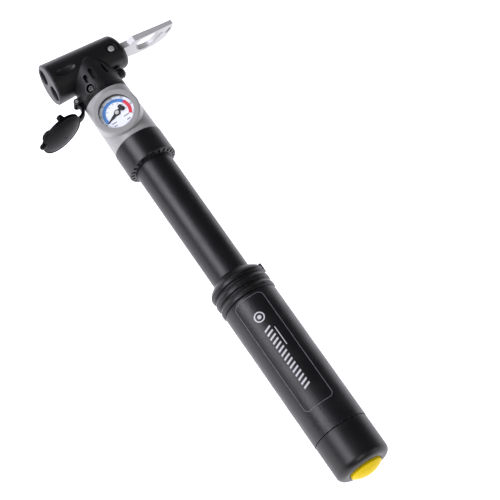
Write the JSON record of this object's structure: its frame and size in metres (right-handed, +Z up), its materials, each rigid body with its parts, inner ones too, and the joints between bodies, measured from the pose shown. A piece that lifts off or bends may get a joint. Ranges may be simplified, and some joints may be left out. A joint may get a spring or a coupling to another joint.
{
  "type": "bicycle mini pump",
  "caption": "Telescopic bicycle hand pump with a twin-valve T head, thumb-lock lever, round pressure gauge, hinged dust cap and ridged handle.",
  "frame": {"origin": "on the barrel's axis, at the middle of the bare stretch between the lock ring and the handle where a frame clip holds it", "axes": "+X along the barrel from the head to the handle's end, +Y towards the thumb lever (the valve ports face -Y), +Z up with the pump lying on its back"},
  "size_m": [0.2818, 0.0994, 0.0334],
  "materials": {
    "head_plastic": "satin, fine moulded grain",
    "cowl_plastic": "satin, fine moulded grain",
    "plate_plastic": "satin grey moulded plastic",
    "soft_rubber": "matt black rubber",
    "cap_rubber": "smooth black rubber with a soft sheen",
    "lever_metal": "bright polished cast aluminium",
    "pin_steel": "turned stainless steel",
    "screw_steel": "dark zinc-plated steel",
    "brass": "turned brass",
    "spring_steel": "drawn spring wire",
    "housing_plastic": "light grey satin plastic",
    "case_black": "black",
    "dial_white": "white enamel with printed scale",
    "lens": "clear moulded lens",
    "needle_black": "matt black",
    "collar_black": "satin black",
    "barrel_metal": "charcoal satin anodised aluminium",
    "inner_plastic": "natural acetal",
    "grip_metal": "charcoal satin anodised aluminium",
    "panel_dark": "dark satin inlay",
    "end_cap_plastic": "satin black",
    "yellow_plastic": "glossy yellow"
  },
  "bodies": {
    "pump_body": {"head_body": "head_plastic", "port_face_plate": "plate_plastic", "schrader_gasket": "soft_rubber", "presta_gasket": "soft_rubber", "plunger_seal": "soft_rubber", "lever_pin": "pin_steel", "neck_cover": "cowl_plastic", "neck_screws": "screw_steel", "neck_gasket": "soft_rubber", "air_stem": "brass", "stem_seal": "soft_rubber", "bleed_spring": "spring_steel", "gauge_housing": "housing_plastic", "gauge_bezel": "housing_plastic", "gauge_case": "case_black", "gauge_dial": "dial_white", "gauge_lens": "lens", "bourdon_tube": "brass", "gauge_stem": "brass", "collar": "collar_black", "lock_ring": "collar_black", "barrel": "barrel_metal", "barrel_plug": "inner_plastic", "check_ball": "pin_steel", "check_spring": "spring_steel", "barrel_bush": "inner_plastic", "strap_pin": "pin_steel"},
    "handle": {"piston": "inner_plastic", "piston_seal": "soft_rubber", "piston_rod": "pin_steel", "rod_nut": "pin_steel", "grip_sleeve": "grip_metal", "grip_lip": "soft_rubber", "grip_panel": "panel_dark", "end_cap": "end_cap_plastic", "rod_washer": "pin_steel", "rod_screw": "pin_steel", "end_plug": "yellow_plastic"},
    "lever": {"lever": "lever_metal"},
    "plunger": {"cam_plunger": "inner_plastic", "depressor_pin": "brass"},
    "cap": {"dust_cap": "cap_rubber", "cap_strap": "cap_rubber"},
    "needle": {"gauge_needle": "needle_black", "needle_spindle": "pin_steel"},
    "bleed_button": {"bleed_button": "head_plastic"}
  },
  "joints": [
    {"name": "handle_slide", "type": "slide", "parent": "pump_body", "child": "handle", "axis": [1, 0, 0], "range_m": [-0.075, 0.029]},
    {"name": "lever_hinge", "type": "hinge", "parent": "pump_body", "child": "lever", "pos_m": [-0.1075, 0.0155, 0], "axis": [0, 0, 1], "range_deg": [0, 90]},
    {"name": "plunger_slide", "type": "slide", "parent": "pump_body", "child": "plunger", "axis": [0, 1, 0], "range_m": [0, 0.0015]},
    {"name": "cap_hinge", "type": "hinge", "parent": "pump_body", "child": "cap", "pos_m": [-0.0919, -0.0153, 0], "axis": [0, 0, 1], "range_deg": [-78, 0]},
    {"name": "needle_turn", "type": "hinge", "parent": "pump_body", "child": "needle", "pos_m": [-0.0702, -0.00316, 0.01178], "axis": [0, -0.2588, 0.9659], "range_deg": [-235, 0], "stiffness_Nm_per_rad": 0.000001},
    {"name": "bleed_press", "type": "slide", "parent": "pump_body", "child": "bleed_button", "axis": [0, -1, 0], "range_m": [0, 0.001], "stiffness_N_per_m": 400, "springref_m": -0.002, "deforming": ["bleed_spring"]}
  ],
  "couplings": [
    {"joint": "plunger_slide", "follows": "lever_hinge", "m_per_rad": 0.00095493}
  ]
}
